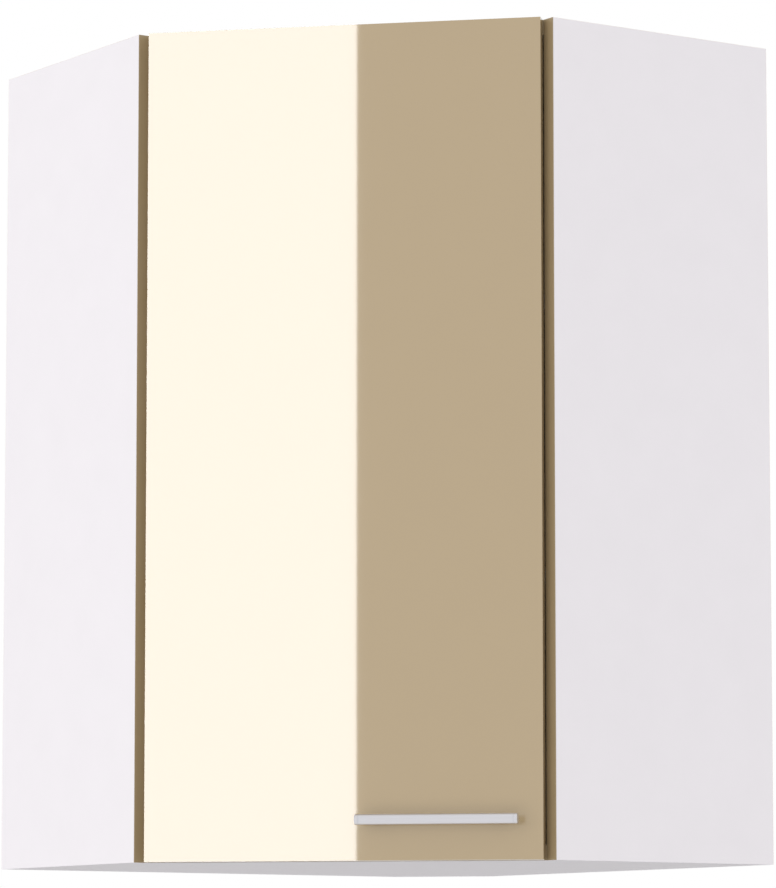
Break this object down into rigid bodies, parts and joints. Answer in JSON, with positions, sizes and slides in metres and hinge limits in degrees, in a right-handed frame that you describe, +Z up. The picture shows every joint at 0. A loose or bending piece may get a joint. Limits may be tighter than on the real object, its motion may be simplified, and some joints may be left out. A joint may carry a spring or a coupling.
{
  "type": "corner wall cabinet",
  "caption": "Diagonal corner wall cabinet, white carcass with clipped rear corner, shelves inside, and a gloss door on concealed hinges with a bar handle.",
  "frame": {"origin": "middle of the bounding box at the cabinet's underside, on the floor of the frame", "axes": "+Z up, the longest extent; the left wall is the plane at -X and the right wall the plane at +Y; the door faces halfway between +X and -Y"},
  "size_m": [0.601, 0.6, 0.88],
  "materials": {
    "white_melamine": "white melamine facing, satin",
    "white_edge_band": "white satin edge band",
    "tan_edge_band": "tan satin edge band",
    "white_hardboard": "white painted hardboard",
    "tan_gloss": "high gloss",
    "brushed_steel": "satin brushed",
    "zinc_steel": "zinc plated",
    "nickel_steel": "nickel plated",
    "white_plastic": "satin",
    "clear_plastic": "soft, translucent",
    "beech": "bare beech"
  },
  "bodies": {
    "carcass": {"back_panel_screws": "zinc_steel", "bottom_front_band": "tan_edge_band", "bottom_panel": "white_melamine", "cam_bolts": "zinc_steel", "cam_cover_caps": "white_plastic", "cam_housings": "zinc_steel", "corner_back_board": "white_melamine", "hanger_adjusting_screws": "zinc_steel", "hanger_cover_caps": "white_plastic", "hanger_fixing_screws": "zinc_steel", "hanger_housings": "white_plastic", "hinge_adjusting_screws": "zinc_steel", "hinge_arm_pins": "zinc_steel", "hinge_arm_screws": "zinc_steel", "hinge_plate_screws": "zinc_steel", "left_back_panel": "white_hardboard", "left_side_front_band": "tan_edge_band", "left_side_panel": "white_melamine", "lower_hinge_arm": "nickel_steel", "lower_hinge_plate": "nickel_steel", "lower_shelf": "white_melamine", "lower_shelf_band": "white_edge_band", "right_back_panel": "white_hardboard", "right_side_front_band": "tan_edge_band", "right_side_panel": "white_melamine", "shelf_pins": "zinc_steel", "top_front_band": "tan_edge_band", "top_panel": "white_melamine", "upper_hinge_arm": "nickel_steel", "upper_hinge_plate": "nickel_steel", "upper_shelf": "white_melamine", "upper_shelf_band": "white_edge_band", "wooden_dowels": "beech"},
    "outer_links": {"lower_outer_link": "nickel_steel", "upper_outer_link": "nickel_steel"},
    "inner_links": {"lower_inner_link": "nickel_steel", "upper_inner_link": "nickel_steel"},
    "door": {"door_board": "white_melamine", "door_gloss_front": "tan_gloss", "door_edge_bands": "tan_gloss", "door_buffers": "clear_plastic", "handle_bar": "brushed_steel", "handle_end_caps": "brushed_steel", "handle_posts": "brushed_steel", "handle_screws": "zinc_steel", "lower_hinge_cup": "nickel_steel", "upper_hinge_cup": "nickel_steel", "hinge_cup_screws": "zinc_steel", "hinge_cup_pins": "zinc_steel"},
    "left_hook": {"left_hanger_hook": "zinc_steel"},
    "right_hook": {"right_hanger_hook": "zinc_steel"}
  },
  "joints": [
    {"name": "outer_link_swing", "type": "hinge", "parent": "carcass", "child": "outer_links", "pos_m": [0.01099, -0.24652, 0.44], "axis": [0, 0, -1], "range_deg": [-62, 0]},
    {"name": "door_swing", "type": "hinge", "parent": "outer_links", "child": "door", "pos_m": [0.00139, -0.27669, 0.44], "axis": [0, 0, -1], "range_deg": [0, 156.94]},
    {"name": "inner_link_swing", "type": "hinge", "parent": "carcass", "child": "inner_links", "pos_m": [0.00312, -0.21255, 0.44], "axis": [0, 0, -1], "range_deg": [-39.2, 0]},
    {"name": "left_hook_height", "type": "slide", "parent": "carcass", "child": "left_hook", "axis": [0, 0, 1], "range_m": [-0.005, 0.008]},
    {"name": "right_hook_height", "type": "slide", "parent": "carcass", "child": "right_hook", "axis": [0, 0, 1], "range_m": [-0.005, 0.008]}
  ],
  "couplings": [
    {"joint": "outer_link_swing", "follows": "door_swing", "ratio": -0.39467},
    {"joint": "inner_link_swing", "follows": "door_swing", "ratio": -0.24939}
  ]
}
